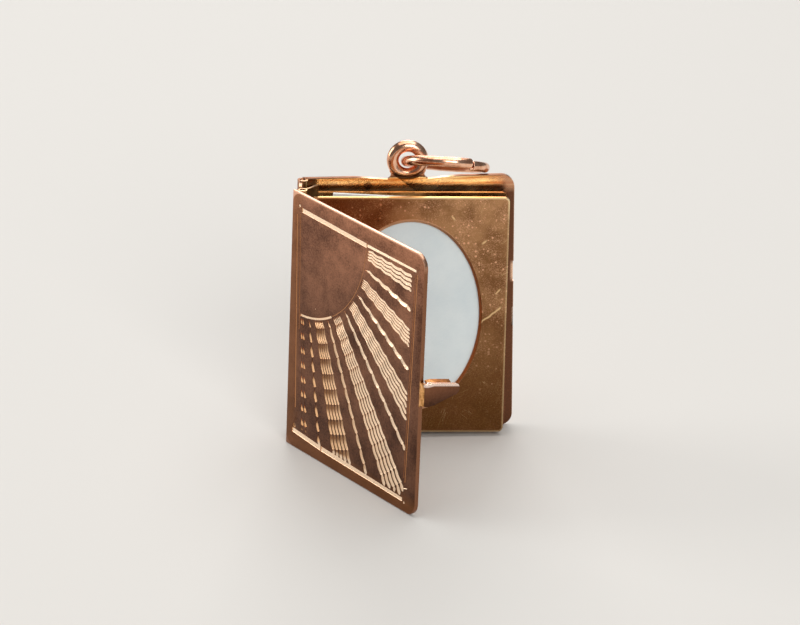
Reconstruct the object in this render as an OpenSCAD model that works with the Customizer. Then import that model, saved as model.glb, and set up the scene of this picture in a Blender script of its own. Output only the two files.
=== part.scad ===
// Book locket in rose and yellow gold, standing open. Millimetres, +Z up, the back cover behind.
// Seen from the front (-Y): spine at the left, back cover across the back, front cover swung open
// towards the viewer, and one leaf with an oval window between them.

/* [Covers] */
// Width of a closed cover, from the spine's edge to the free edge
cover_w = 16; // [15:0.5:18]
// Height of each cover
cover_h = 20; // [19:0.5:23]
// Thickness of the cover sheet
sheet_t = 0.3; // [0.25:0.05:0.35]
// Radius of the covers' free corners
corner_r = 1.0; // [0.6:0.1:1.6]
// Depth of the filed hollow on each side of the ear
ear_dip = 0.2; // [0.1:0.05:0.3]
// Depth of the worn flat in the back cover's free edge
worn_d = 0.06; // [0.03:0.01:0.1]

/* [Hinges] */
// Distance between the back hinge pin and the front hinge pin
spine_w = 1.9; // [1.9:0.1:2.4]
// Outer radius of the back hinge tubes
back_tube_r = 0.39; // [0.37:0.01:0.41]
// Outer radius of the front hinge tubes
front_tube_r = 0.33; // [0.32:0.01:0.34]
// Radius of both hinge pins
pin_r = 0.2; // [0.15:0.01:0.2]
// Running clearance between a pin and its tubes
pin_clear = 0.02; // [0.01:0.01:0.04]
// Gap between two neighbouring hinge tubes
tube_gap = 0.06; // [0.04:0.01:0.1]
// Thickness of the spine strip
spine_t = 0.25; // [0.2:0.01:0.25]

/* [Standing pose] */
// Angle of the front cover from shut, at rest
cover_open = 56.5; // [40:0.5:75]
// Angle by which the spine leans outwards at rest
spine_out = 2; // [1:0.5:3]
// Sideways lean of the worn hinges, bottom outwards
hinge_lean = 2.15; // [1.5:0.05:2.5]
// Backward lean of the standing locket
lean_back = 1.5; // [1.3:0.1:1.7]
// How far the front cover hangs below the back cover
cover_drop = 0.1; // [0.05:0.01:0.15]

/* [Leaf] */
// Width of the leaf's front plate
leaf_w = 14.3; // [13.5:0.1:14.4]
// Height of the leaf's front plate
leaf_h = 18.6; // [18:0.1:18.7]
// Thickness of the leaf, front plate to rear plate
leaf_t = 1.05; // [1:0.01:1.06]
// Thickness of each leaf plate
leaf_sheet_t = 0.25; // [0.2:0.01:0.27]
// Distance from the front pin to the leaf's left edge
leaf_start = 1.0; // [0.95:0.05:1.2]
// Distance from the front pin back to the leaf's front face
leaf_back_off = 0.25; // [0.22:0.01:0.28]
// Height of the leaf's bottom edge above the front cover's
leaf_foot = 0.7; // [0.6:0.05:0.8]
// Angle by which the leaf stands away from the back cover
leaf_out = 0.5; // [0.3:0.1:0.7]
// Upward turn of the leaf on its worn hinge
leaf_lift = 1.0; // [0.5:0.1:1.2]
// Width of the oval window
window_w = 10.3; // [9:0.1:11]
// Height of the oval window
window_h = 14.7; // [13:0.1:15]

/* [Cards] */
// Width of the pale blue card behind the window
picture_w = 12.6; // [12:0.1:12.9]
// Height of the pale blue card
picture_h = 16.6; // [16:0.1:16.8]
// Thickness of the pale blue card
picture_t = 0.2; // [0.15:0.01:0.22]
// Width of the white backing card
backing_w = 12.0; // [11:0.1:12.2]
// Height of the white backing card
backing_h = 17.6; // [17:0.1:17.8]
// Thickness of the white backing card
backing_t = 0.22; // [0.15:0.01:0.24]
// Turn of the white card in its pocket, left corner up
backing_turn = 3; // [2:0.5:3.5]

/* [Latch] */
// Length of the latch tongue from the cover's outer face
latch_l = 3.1; // [2.9:0.1:3.3]
// Height of the tongue where it leaves the cover
latch_h = 1.7; // [1.4:0.1:2]
// Height of the tongue's middle on the free edge
latch_z = 9.65; // [9:0.05:10.3]
// Thickness of the tongue
latch_t = 0.22; // [0.2:0.01:0.25]
// Depth of the notch for the tongue's catch bump, in the back cover's inner edge
nick_d = 0.15; // [0.13:0.01:0.2]

/* [Ear and jump ring] */
// Distance of the ear's middle from the back hinge, at the top
ear_x = 7.67; // [7:0.01:8.5]
// Radius of the ear's round, at the middle of its wire
ear_r = 1.09; // [1.05:0.01:1.2]
// Radius of the ear's wire
ear_wire_r = 0.44; // [0.38:0.01:0.45]
// Radius of the jump ring, at the middle of its wire
ring_r = 2.9; // [2.7:0.01:3]
// Radius of the jump ring's wire
ring_wire_r = 0.37; // [0.33:0.01:0.37]
// Tilt of the lying ring, front edge up
ring_tilt = 22; // [20:1:26]
// Fall of the lying ring from the ear to the cover's top edge
ring_fall = 5.5; // [4:0.1:6]
// Width of the ring's open joint
ring_seam = 0.08; // [0.05:0.01:0.12]

/* [Sunburst] */
// Distance of the sun's middle from the spine's edge
sun_x = 1.1; // [1:0.1:1.3]
// Height of the sun's middle
sun_z = 18.7; // [18.5:0.1:18.8]
// Radius of the plain sun
sun_r = 8; // [7:0.05:8.5]
// Depth of the engraved lines
cut_d = 0.05; // [0.04:0.01:0.08]
// Width of an engraved ray
ray_w = 0.12; // [0.08:0.01:0.16]
// Angle from one bundle of rays to the next
ray_step = 16.65; // [16:0.05:17]
// Angle from one ray to the next inside a bundle
bundle_step = 1.4; // [1.2:0.1:1.5]

/* [Hidden] */
$fn = 64;

plate_w = cover_w - back_tube_r;             // from the front hinge's axis to the free edge
back_plate_w = plate_w - 0.1;                // the back cover is worn a little narrower
edge_r = sheet_t/2;                          // rounding of the front cover's hinge edge
worn_z = 11.6;                               // the worn flat's lower end and length
worn_l = 1.6;
bore_r = pin_r + pin_clear;
lean_shift = cover_h*tan(hinge_lean);        // how far the back hinge's foot stands out

// Front hinge pin, seen from above in the leaning hinge frame
front_pin_x = -spine_w*sin(spine_out);
front_pin_y = -spine_w*cos(spine_out);

// Cover sheets, measured from their own hinge axis: the front cover lies outside its tubes,
// and the back cover is flush with the back of its tubes
front_outer_y = -front_tube_r - sheet_t;
back_inner_y = back_tube_r - sheet_t;
back_mid_y = back_tube_r - sheet_t/2;

// Rows of hinge tubes, as [foot, top] from the bottom of the hinge
back_rows = [[0, 4], [8, 12], [16, 20]];
spine_back_rows = [[4, 8], [12, 16]];
leaf_rows = [[0.15, 2.2], [17.8, 20]];
front_rows = [[2.2, 6.2], [8.6, 11.4], [13.8, 17.8]];
spine_front_rows = [[6.2, 8.6], [11.4, 13.8]];
row_unit = cover_h/20;                       // the rows are set out on a 20 mm cover
room_gap = 0.07;                             // gap round the neighbour's tubes
spine_set = 0.04;                            // the strip lies this far outside the pins

// Leaf; a card lies card_gap away from its plate
card_gap = 0.03;
rear_y = leaf_back_off + leaf_t - leaf_sheet_t;
leaf_mid_z = leaf_foot + leaf_h/2;
window_x = leaf_start + leaf_w/2;
picture_y = leaf_back_off + leaf_sheet_t + card_gap;
backing_y = rear_y - backing_t - card_gap;
rim_t = 0.25;                                // the frame's turned edges
window_bevel = 0.2;                          // width of the sloping rim round the window

// Latch, in the front cover's own frame
latch_x = plate_w + 0.36;                    // the tongue's inner face
latch_bend_r = 0.2;                          // inner radius of its bend
bend_x = latch_x - latch_bend_r;             // middle of its bend
bend_y = front_outer_y + latch_t + latch_bend_r;
latch_tip_r = 0.45;
bump_r = 0.13;
bump_at = 0.47;                              // distance of the catch bump from the tongue's tip
catch_l = 2.2;                               // length, depth and rise of the catch's sloping ridge,
catch_d = 0.34;                              // behind the tongue's top edge
catch_rise = 0.14;
nick_foot = 1.6;                             // the notch ends this far below the tongue's middle
nick_l = 1.5;
nick_t = 0.17;                               // it goes through only the front part of the sheet

// Ear
ear_z = cover_h + ear_r + 0.13;
neck_w = 2.65;
fillet_r = 0.35;                             // hollow fillets at the foot of the neck,
fillet_x = neck_w/2 + fillet_r - 0.1;        // which narrow it by 0.1 on each side
dip_mid = 1.1;                               // the filed hollows beside the neck, along the edge
dip_end = 2.6;

// The ring hangs on the foot of the ear's eye and lies on the cover's top edge
ring_seat_x = ear_x - 0.13;
ring_seat_z = ear_z - 0.11;

// Engraved bars along the front cover's top and bottom: [x, z] from the spine's foot
top_bar = [[1.27, 18.6], [8.9, 18.44], [15, 18.52], [15, 18.66], [8.9, 18.74], [1.27, 18.95]];
foot_bar = [[0.75, 1.16], [4.45, 0.92], [14.5, 0.74], [14.5, 1.02], [4.45, 1.25], [0.75, 1.5]];
ray_margin = 1.45;                           // the rays end this far from the free edge and the foot

// Angles of the rays: single ones at single_at, and bundles of five at bundle_at, then every ray_step
single_at = 13.1;
bundle_at = 4.9;
ray_start = 0.25;                            // the rays begin this far outside the sun

// Frame of the standing locket: its bounding box is centred on the origin, its feet are at z = 0
function leaned(p) = [p.x*cos(hinge_lean) + p.z*sin(hinge_lean) - lean_shift, p.y,
                      p.z*cos(hinge_lean) - p.x*sin(hinge_lean)];
function stood(p) = [p.x, p.y*cos(lean_back) + p.z*sin(lean_back),
                     p.z*cos(lean_back) - p.y*sin(lean_back)];
function on_cover(p) = [front_pin_x + p.x*cos(cover_open) + p.y*sin(cover_open),
                        front_pin_y - p.x*sin(cover_open) + p.y*cos(cover_open), p.z];
left_end = leaned(on_cover([-back_tube_r + edge_r, front_outer_y + edge_r, -cover_drop])).x - edge_r;
right_end = back_plate_w;
near_end = stood(leaned(on_cover([bend_x, bend_y, latch_z - latch_h/2 - cover_drop]))).y
    - latch_bend_r - latch_t;
far_end = stood([0, back_mid_y + ring_r*cos(ring_tilt) + ring_wire_r,
                 ring_seat_z - ring_r*(sin(ring_fall) + sin(ring_tilt))]).y;
foot_z = stood(leaned(on_cover([-back_tube_r + edge_r, -front_tube_r, -cover_drop]))).z;
centre = [(left_end + right_end)/2, (near_end + far_end)/2, foot_z];

module stand() translate(-centre) rotate([-lean_back, 0, 0]) children();

// The hinge side: both pins are parallel to this frame's Z
module hinge_side() stand() translate([-lean_shift, 0, 0]) rotate([0, hinge_lean, 0]) children();

module at_spine() hinge_side() rotate([0, 0, -spine_out]) children();

module at_front_pin(turn) {
    hinge_side() translate([front_pin_x, front_pin_y, -cover_drop]) rotate([0, 0, turn]) children();
}

// Drawing in the XZ plane, with its thickness from y = y0 towards +Y
module upright(y0, t) translate([0, y0 + t, 0]) rotate([90, 0, 0]) linear_extrude(t) children();

module tube_rows(rows, r) {
    for (row = rows) translate([0, 0, row[0]*row_unit + tube_gap/2])
        cylinder(r = r, h = (row[1] - row[0])*row_unit - tube_gap);
}

// Room for the neighbour's tubes, cut from a sheet that passes them
module tube_room(rows, r) {
    for (row = rows) translate([0, 0, row[0]*row_unit - tube_gap/2])
        cylinder(r = r + room_gap, h = (row[1] - row[0])*row_unit + tube_gap);
}

module pin_bore(x = 0, y = 0) translate([x, y, -1]) cylinder(r = bore_r, h = cover_h + 2);

// Sheet outline with two rounded free corners at its right end
module cover_outline(left, width, height) {
    translate([left, 0]) square([width - left - corner_r, height]);
    translate([width - corner_r - 0.01, corner_r]) square([corner_r + 0.01, height - 2*corner_r]);
    for (z = [corner_r, height - corner_r]) translate([width - corner_r, z]) circle(corner_r);
}

// Outline of the back cover: its spine edge follows the leaning hinge, and the top edge is
// filed down beside the ear
module back_outline() {
    difference() {
        union() {
            cover_outline(0, back_plate_w, cover_h);
            polygon([[0.01, 0], [-lean_shift, 0], [0, cover_h], [0.01, cover_h]]);
            translate([ear_x - neck_w/2, cover_h - 1]) square([neck_w, 1 + ear_r/2]);
        }
        for (side = [-1, 1]) translate([ear_x, cover_h]) {
            translate([side*fillet_x, fillet_r - ear_dip - 0.01]) circle(fillet_r);
            polygon([[side*fillet_x, 0.1], [side*fillet_x, -ear_dip], [side*(fillet_x + 0.2), -ear_dip],
                     [side*(neck_w/2 + dip_mid), -0.6*ear_dip], [side*(neck_w/2 + dip_end), 0],
                     [side*(neck_w/2 + dip_end), 0.1]]);
        }
        translate([back_plate_w - worn_d, worn_z]) square([1, worn_l]);
    }
}

module back_cover() {
    color("peru") stand() difference() {
        union() {
            difference() {
                upright(back_inner_y, sheet_t) back_outline();
                translate([-lean_shift, 0, 0]) rotate([0, hinge_lean, 0])
                    tube_room(spine_back_rows, back_tube_r);
            }
            translate([-lean_shift, 0, 0]) rotate([0, hinge_lean, 0])
                tube_rows(back_rows, back_tube_r);
            translate([ear_x, back_mid_y, ear_z]) rotate([90, 0, 0])
                rotate_extrude() translate([ear_r, 0]) circle(ear_wire_r);
        }
        translate([-lean_shift, 0, 0]) rotate([0, hinge_lean, 0]) pin_bore();
        translate([back_plate_w - nick_d, back_inner_y - 0.1, latch_z - nick_foot])
            cube([1, 0.1 + nick_t, nick_l]);
    }
}

module back_pin() {
    color("goldenrod") hinge_side() translate([0, 0, 0.08]) cylinder(r = pin_r, h = cover_h - 0.16);
}

module spine() {
    color("sienna") at_spine() translate([0, -spine_w, -cover_drop/2]) difference() {
        union() {
            difference() {
                translate([-spine_t - spine_set, 0, tube_gap/2])
                    cube([spine_t, spine_w, cover_h - tube_gap]);
                tube_room(concat(front_rows, leaf_rows), front_tube_r + 0.03);
                translate([0, spine_w, 0]) tube_room(back_rows, back_tube_r);
            }
            tube_rows(spine_front_rows, front_tube_r);
            translate([0, spine_w, 0]) tube_rows(spine_back_rows, back_tube_r);
        }
        pin_bore();
        pin_bore(0, spine_w);
    }
}

module front_pin() {
    color("goldenrod") at_front_pin(0) translate([0, 0, 0.08]) cylinder(r = pin_r, h = cover_h - 0.16);
}

// One straight engraved ray from just outside the sun to the border, in the XZ plane
module ray(angle) {
    reach = min((cover_w - ray_margin - sun_x)/cos(angle), (sun_z - ray_margin)/max(sin(angle), 0.01));
    translate([sun_x, sun_z]) rotate(-angle) translate([sun_r + ray_start, -ray_w/2])
        square([reach - sun_r - ray_start, ray_w]);
}

module sunburst() {
    for (k = [0:4]) ray(single_at + k*ray_step);
    for (k = [0:5], i = [-2:2]) let (angle = bundle_at + k*ray_step + i*bundle_step)
        if (angle < 88.5) ray(angle);
    intersection() {
        translate([sun_x, sun_z]) difference() {
            circle(sun_r + ray_w);
            circle(sun_r);
        }
        translate([sun_x + 0.2, 0]) square([cover_w, sun_z]);
    }
    polygon(top_bar);
    polygon(foot_bar);
}

// The tongue bends round the free edge, narrows to a round tip and carries a small catch bump
module latch() {
    tip_y = front_outer_y + latch_l;
    intersection() {
        translate([0, 0, latch_z - latch_h]) linear_extrude(2*latch_h) {
            translate([plate_w - 0.2, front_outer_y]) square([bend_x - plate_w + 0.2, latch_t]);
            intersection() {
                translate([bend_x, bend_y]) difference() {
                    circle(latch_bend_r + latch_t);
                    circle(latch_bend_r);
                }
                translate([bend_x, front_outer_y]) square(latch_bend_r + latch_t);
            }
            translate([latch_x, bend_y - 0.001]) square([latch_t, tip_y - bend_y]);
        }
        translate([plate_w - 1, 0, latch_z]) rotate([90, 0, 90]) linear_extrude(3) {
            polygon([[-1, -latch_h/2], [0.2, -latch_h/2], [tip_y - latch_tip_r, -latch_tip_r],
                     [tip_y - latch_tip_r, latch_tip_r], [0.2, latch_h/2], [-1, latch_h/2]]);
            translate([tip_y - latch_tip_r, 0]) circle(latch_tip_r);
        }
    }
    translate([latch_x, tip_y - bump_at, latch_z]) sphere(bump_r);
    top_slope = atan((latch_h/2 - latch_tip_r)/(tip_y - latch_tip_r - 0.2));
    translate([latch_x + latch_t/2, 0.2, latch_z + latch_h/2]) rotate([-90 - top_slope, 0, 0]) translate([0, 0, -0.5])
        linear_extrude(catch_l) polygon([[0, 0.05], [0, 0.35], [-latch_t/2 - catch_d, 0],
                                         [-latch_t/2 - catch_d, -catch_rise]]);
}

module front_cover() {
    color("saddlebrown") at_front_pin(-cover_open) difference() {
        union() {
            upright(front_outer_y, sheet_t) cover_outline(-back_tube_r + edge_r, plate_w, cover_h);
            translate([-back_tube_r, front_outer_y, 0]) linear_extrude(cover_h) {
                translate([0, edge_r]) square([edge_r + 0.01, sheet_t - edge_r]);
                intersection() {
                    translate([edge_r, edge_r]) circle(edge_r);
                    square(edge_r + 0.01);
                }
            }
            difference() {
                tube_rows(front_rows, front_tube_r);
                translate([-1, front_outer_y - 1 + sheet_t/2, 0]) cube([2, 1, cover_h]);
            }
            for (row = front_rows) translate([-0.14, -front_tube_r - 0.05, row[0]*row_unit + tube_gap/2])
                cube([0.28, 0.14, (row[1] - row[0])*row_unit - tube_gap]);
            latch();
        }
        pin_bore();
        translate([-back_tube_r, 0, 0]) upright(front_outer_y, cut_d) sunburst();
    }
}

// The leaf's own frame, turned up a little on its hinge
module leaf_plane() {
    translate([leaf_start, 0, leaf_mid_z]) rotate([0, -leaf_lift, 0])
        translate([-leaf_start, 0, -leaf_mid_z]) children();
}

module leaf_outline(width, height) {
    r = 0.4;
    translate([leaf_start, leaf_foot]) {
        square([width - r, height]);
        translate([width - r - 0.01, r]) square([r + 0.01, height - 2*r]);
        for (z = [r, height - r]) translate([width - r, z]) circle(r);
    }
}

// Hinge strip from the pin to the rear plate, clear of the other pieces' tubes
module leaf_strip() {
    strip_t = 0.2;
    strip_l = 1.5;
    strip_below = 0.3;                       // it starts a little lower than the leaf
    difference() {
        translate([0, 0, leaf_foot - strip_below]) linear_extrude(cover_h - leaf_foot + strip_below - tube_gap)
            rotate(46) translate([0.1, -strip_t/2]) square([strip_l, strip_t]);
        tube_room(concat(front_rows, spine_front_rows), front_tube_r);
    }
}

module leaf_back() {
    color("darkgoldenrod") at_front_pin(-leaf_out) difference() {
        union() {
            leaf_strip();
            tube_rows(leaf_rows, front_tube_r);
            leaf_plane() upright(rear_y, leaf_sheet_t) {
                leaf_outline(leaf_w - 0.15, leaf_h + 0.1);
                translate([leaf_start - 0.35, leaf_foot + 0.4]) square([0.4, leaf_h - 0.8]);
            }
        }
        pin_bore();
    }
}

// Oval window, drawn from a circle so that its wall stays a true oval
module window_outline(grow) {
    translate([window_x, leaf_mid_z]) scale([(window_w + 2*grow)/2, (window_h + 2*grow)/2]) circle(1);
}

module leaf_frame() {
    side_d = leaf_t - leaf_sheet_t - 0.04;   // the turned edges stop just short of the rear plate
    color("darkgoldenrod") at_front_pin(-leaf_out) leaf_plane() {
        difference() {
            upright(leaf_back_off, leaf_sheet_t) leaf_outline(leaf_w, leaf_h);
            upright(leaf_back_off - 0.1, leaf_sheet_t + 0.2) window_outline(0);
            upright(leaf_back_off - 0.1, 0.1 + leaf_sheet_t/2) window_outline(window_bevel);
        }
        upright(leaf_back_off, side_d) difference() {
            leaf_outline(leaf_w, leaf_h);
            translate([0, rim_t]) leaf_outline(leaf_w - rim_t, leaf_h);
            translate([leaf_start - 1, leaf_foot + leaf_h - 0.8]) square([leaf_w + 2, 2]);
        }
    }
}

module picture_card() {
    color("lightblue") at_front_pin(-leaf_out) leaf_plane() upright(picture_y, picture_t)
        translate([window_x - picture_w/2, leaf_mid_z - picture_h/2]) square([picture_w, picture_h]);
}

module backing_card() {
    color("white") at_front_pin(-leaf_out) leaf_plane() upright(backing_y, backing_t)
        translate([window_x - 0.2, leaf_mid_z + 0.3]) rotate(-backing_turn)
            translate([-backing_w/2, -backing_h/2]) square([backing_w, backing_h]);
}

// The ring passes through the ear and lies to its right on the top edge, its joint half open
module jump_ring() {
    seam_at = 34;
    color("peru") stand() translate([ring_seat_x, back_mid_y, ring_seat_z]) rotate([0, ring_fall, 0])
        translate([ring_r, 0, 0]) rotate([-ring_tilt, 0, 0]) difference() {
            rotate_extrude() translate([ring_r, 0]) circle(ring_wire_r);
            rotate([0, 0, -90 + seam_at]) translate([0, -ring_seam/2, -1]) cube([2*ring_r, ring_seam, 2]);
        }
}

back_cover();
back_pin();
spine();
front_pin();
front_cover();
leaf_back();
leaf_frame();
picture_card();
backing_card();
jump_ring();
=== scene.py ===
import math

import bmesh
import bpy
from mathutils import Matrix, Vector


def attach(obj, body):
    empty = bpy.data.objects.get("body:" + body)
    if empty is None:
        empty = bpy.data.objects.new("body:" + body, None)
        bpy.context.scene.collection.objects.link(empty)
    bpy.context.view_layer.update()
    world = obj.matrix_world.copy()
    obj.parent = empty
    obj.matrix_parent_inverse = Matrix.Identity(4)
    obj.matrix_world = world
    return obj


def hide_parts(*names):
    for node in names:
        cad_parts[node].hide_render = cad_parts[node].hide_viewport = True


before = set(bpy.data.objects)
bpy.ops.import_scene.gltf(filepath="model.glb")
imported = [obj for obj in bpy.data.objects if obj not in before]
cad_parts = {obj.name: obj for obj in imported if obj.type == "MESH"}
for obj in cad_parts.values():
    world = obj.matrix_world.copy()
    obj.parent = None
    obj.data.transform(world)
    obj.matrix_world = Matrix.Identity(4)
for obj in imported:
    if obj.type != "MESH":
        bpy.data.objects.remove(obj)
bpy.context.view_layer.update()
millimetre = 0.001


# How the locket stands open, in millimetres and degrees

stance = {
    "centre": (7.00339, -5.77304, -0.03289),
    "leanBack": 1.5,
    "hingeLean": 2.15,
    "spineOut": 2.0,
    "spineWidth": 1.9,
    "coverOpen": 56.5,
    "coverDrop": 0.1,
    "leafOut": 0.5,
    "leafLift": 1.0,
    "liftAbout": (1, 0, 10),
    "height": 20.0,
}


def turned(axis, degrees):
    return Matrix.Rotation(math.radians(degrees), 4, axis)


def shifted(x, y, z):
    return Matrix.Translation((x, y, z))


# Each space carries a piece's own millimetres to where the piece stands
standing = shifted(*[-c for c in stance["centre"]]) @ turned("X", -stance["leanBack"])
hingeFoot = shifted(-stance["height"] * math.tan(math.radians(stance["hingeLean"])), 0, 0)
hingeSide = standing @ hingeFoot @ turned("Y", stance["hingeLean"])
spineOut = math.radians(stance["spineOut"])
frontPin = shifted(-stance["spineWidth"] * math.sin(spineOut),
                   -stance["spineWidth"] * math.cos(spineOut), -stance["coverDrop"])
coverSpace = hingeSide @ frontPin @ turned("Z", -stance["coverOpen"])
leafSpace = (hingeSide @ frontPin @ turned("Z", -stance["leafOut"]) @ shifted(*stance["liftAbout"])
             @ turned("Y", -stance["leafLift"]) @ shifted(*[-c for c in stance["liftAbout"]]))


# Camera, at the photograph's angle; its place is in metres

cameraSettings = {
    "place": (-0.015633, -0.265437, 0.127559),
    "looks": (0.053049, 0.915542, -0.398709),
    "up": (0.021433, 0.398136, 0.917076),
    "lens": 180.1,
}


def makeCamera(settings):
    data = bpy.data.cameras.new("camera")
    data.lens, data.sensor_width = settings["lens"], 36
    data.clip_start, data.clip_end = 0.01, 20
    camera = bpy.data.objects.new("camera", data)
    back = -Vector(settings["looks"]).normalized()
    right = Vector(settings["up"]).cross(back).normalized()
    turn = Matrix((right, back.cross(right), back)).transposed().to_4x4()
    camera.matrix_world = Matrix.Translation(settings["place"]) @ turn
    bpy.context.scene.collection.objects.link(camera)
    bpy.context.scene.camera = camera


makeCamera(cameraSettings)
print("camera set")


# Shaping: a bmesh is worked on in millimetres, and placed() makes a finished piece of it

# A copy of a CAD node, its triangles merged into faces
def cadCopy(node):
    bm = bmesh.new()
    bm.from_mesh(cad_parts[node].data)
    bmesh.ops.scale(bm, vec=(1 / millimetre,) * 3, verts=bm.verts)
    bmesh.ops.remove_doubles(bm, verts=bm.verts, dist=0.002)
    bmesh.ops.dissolve_limit(bm, angle_limit=math.radians(0.8), verts=bm.verts, edges=bm.edges)
    return bm


def bevelled(bm, geom, width, segments, affect="EDGES"):
    return bmesh.ops.bevel(bm, geom=geom, offset=width, offset_type="OFFSET", segments=segments,
                           profile=0.5, affect=affect, clamp_overlap=True, material=-1)["verts"]


# Rounds off every edge that is sharper than an angle in degrees
def softenEdges(bm, width, segments, sharper):
    edges = [e for e in bm.edges if e.is_manifold and e.calc_face_angle(0) > math.radians(sharper)]
    bevelled(bm, edges, width, segments)


def rotated(bm, verts, axis, degrees):
    bmesh.ops.rotate(bm, cent=(0, 0, 0), matrix=Matrix.Rotation(math.radians(degrees), 3, axis), verts=verts)


def block(bm, low, high):
    made = bmesh.ops.create_cube(bm, size=1)["verts"]
    size = [b - a for a, b in zip(low, high)]
    middle = [(a + b) / 2 for a, b in zip(low, high)]
    bmesh.ops.scale(bm, vec=size, verts=made)
    bmesh.ops.translate(bm, vec=middle, verts=made)
    return made


# The edges through a block's thickness at its free side, where its corners are rounded
def freeCorners(bm, beyond):
    return [e for e in bm.edges if all(v.co.x > beyond for v in e.verts)
            and abs(e.verts[0].co.y - e.verts[1].co.y) > 0.1]


def toMesh(bm, name):
    mesh = bpy.data.meshes.new(name)
    bm.to_mesh(mesh)
    bm.free()
    return mesh


# Faces are shaded smooth across edges up to an angle in degrees
def placed(bm, name, material, body, nodes, space=Matrix(), smoothBelow=40):
    bmesh.ops.transform(bm, matrix=space, verts=bm.verts)
    bmesh.ops.remove_doubles(bm, verts=bm.verts, dist=0.0008)
    bmesh.ops.scale(bm, vec=(millimetre,) * 3, verts=bm.verts)
    bmesh.ops.recalc_face_normals(bm, faces=bm.faces)
    mesh = toMesh(bm, name)
    mesh.shade_smooth()
    mesh.set_sharp_from_angle(angle=math.radians(smoothBelow))
    mesh.materials.append(material)
    piece = bpy.data.objects.new(name, mesh)
    bpy.context.scene.collection.objects.link(piece)
    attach(piece, body)
    if nodes:
        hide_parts(*nodes)
    print("made", name, len(mesh.polygons), "faces")


# Cuts every cutter out of the body and gives back one bmesh
def cutAway(bodyBm, *cutterBms):
    scene = bpy.context.scene.collection
    whole = bpy.data.objects.new("whole", toMesh(bodyBm, "whole"))
    scene.objects.link(whole)
    cutters = []
    for cutterBm in cutterBms:
        bmesh.ops.recalc_face_normals(cutterBm, faces=cutterBm.faces)
        cutter = bpy.data.objects.new("cutter", toMesh(cutterBm, "cutter"))
        scene.objects.link(cutter)
        step = whole.modifiers.new("cut", "BOOLEAN")
        step.operation, step.solver, step.object = "DIFFERENCE", "EXACT", cutter
        cutters.append(cutter)
    bpy.context.view_layer.update()
    result = bmesh.new()
    result.from_mesh(whole.evaluated_get(bpy.context.evaluated_depsgraph_get()).data)
    for used in [whole] + cutters:
        bpy.data.objects.remove(used)
    return result


# Materials: their patterns are laid out in the piece's own millimetres

def sRgb(code):
    parts = [int(code[i:i + 2], 16) / 255 for i in (1, 3, 5)]
    return tuple(c / 12.92 if c <= 0.04045 else ((c + 0.055) / 1.055) ** 2.4 for c in parts) + (1,)


# Adds a node of a kind. Its sockets take values or other nodes' outputs, as a list in their order or
# by number or name. It gives back one output, or all of them where give is None
def addNode(tree, kind, sockets, give=0, **settings):
    node = tree.nodes.new("ShaderNode" + kind)
    for key, value in settings.items():
        setattr(node, key, value)
    named = sockets if isinstance(sockets, dict) else dict(enumerate(sockets))
    for key, value in named.items():
        if isinstance(value, bpy.types.NodeSocket):
            tree.links.new(value, node.inputs[key])
        else:
            node.inputs[key].default_value = value
    return node.outputs if give is None else node.outputs[give]


# A mask where ramps meet: each is a list of a value, its bounds and what they lead to, or a mask already
def meeting(tree, *ramps):
    mask, *others = [addNode(tree, "MapRange", ramp) if isinstance(ramp, list) else ramp for ramp in ramps]
    for other in others:
        mask = addNode(tree, "Math", [mask, other], operation="MULTIPLY")
    return mask


# Colours laid over one another, each by its mask or ramp; they are hex values or other nodes' outputs
def layered(tree, colour, *layers):
    for mask, over in layers:
        under, over = [sRgb(c) if isinstance(c, str) else c for c in (colour, over)]
        colour = addNode(tree, "Mix", {0: meeting(tree, mask), 6: under, 7: over}, give=2, data_type="RGBA")
    return colour


def newMaterial(name):
    material = bpy.data.materials.new(name)
    material.use_nodes = True
    material.node_tree.nodes.clear()
    return material, material.node_tree


def pieceSpace(tree, space):
    back = space.inverted()
    place = addNode(tree, "TexCoord", {}, give="Object")
    return addNode(tree, "Mapping", {
        "Vector": place, "Location": back.to_translation(),
        "Rotation": back.to_euler("XYZ"), "Scale": (1 / millimetre,) * 3})


def closeMaterial(tree, finish):
    addNode(tree, "OutputMaterial", [addNode(tree, "BsdfPrincipled", finish)], give=None)


# Clouds of a size, drawn out by stretch after a turn in radians about the plate's depth
def cloud(tree, place, size, detail, roughness, stretch=None, turn=0.0):
    if stretch:
        place = addNode(tree, "Mapping", {"Vector": place, "Rotation": (0, turn, 0)})
        place = addNode(tree, "Mapping", {"Vector": place, "Scale": stretch})
    return addNode(tree, "TexNoise", {"Vector": place, "Scale": 1 / size, "Detail": detail,
                                      "Roughness": roughness})


# Distance in the plate's plane from a point (x, z), and the vector from there
def awayFrom(tree, place, x, z):
    flat = addNode(tree, "VectorMath", [place, (x, 0, z)], operation="SUBTRACT")
    flat = addNode(tree, "VectorMath", [flat, (1, 0, 1)], operation="MULTIPLY")
    return addNode(tree, "VectorMath", [flat], give="Value", operation="LENGTH"), flat


# Distance outside a rectangle's core, which is smaller by the corner radius: at the edge it is the radius
def outsideCore(tree, place, low, high, radius):
    anyDepth = 50
    middle = ((low[0] + high[0]) / 2, 0, (low[1] + high[1]) / 2)
    core = ((high[0] - low[0]) / 2 - radius, anyDepth, (high[1] - low[1]) / 2 - radius)
    inset = addNode(tree, "VectorMath", [place, middle], operation="SUBTRACT")
    inset = addNode(tree, "VectorMath", [inset], operation="ABSOLUTE")
    inset = addNode(tree, "VectorMath", [inset, core], operation="SUBTRACT")
    inset = addNode(tree, "VectorMath", [inset, (0, 0, 0)], operation="MAXIMUM")
    return addNode(tree, "VectorMath", [inset], give="Value", operation="LENGTH")


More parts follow.
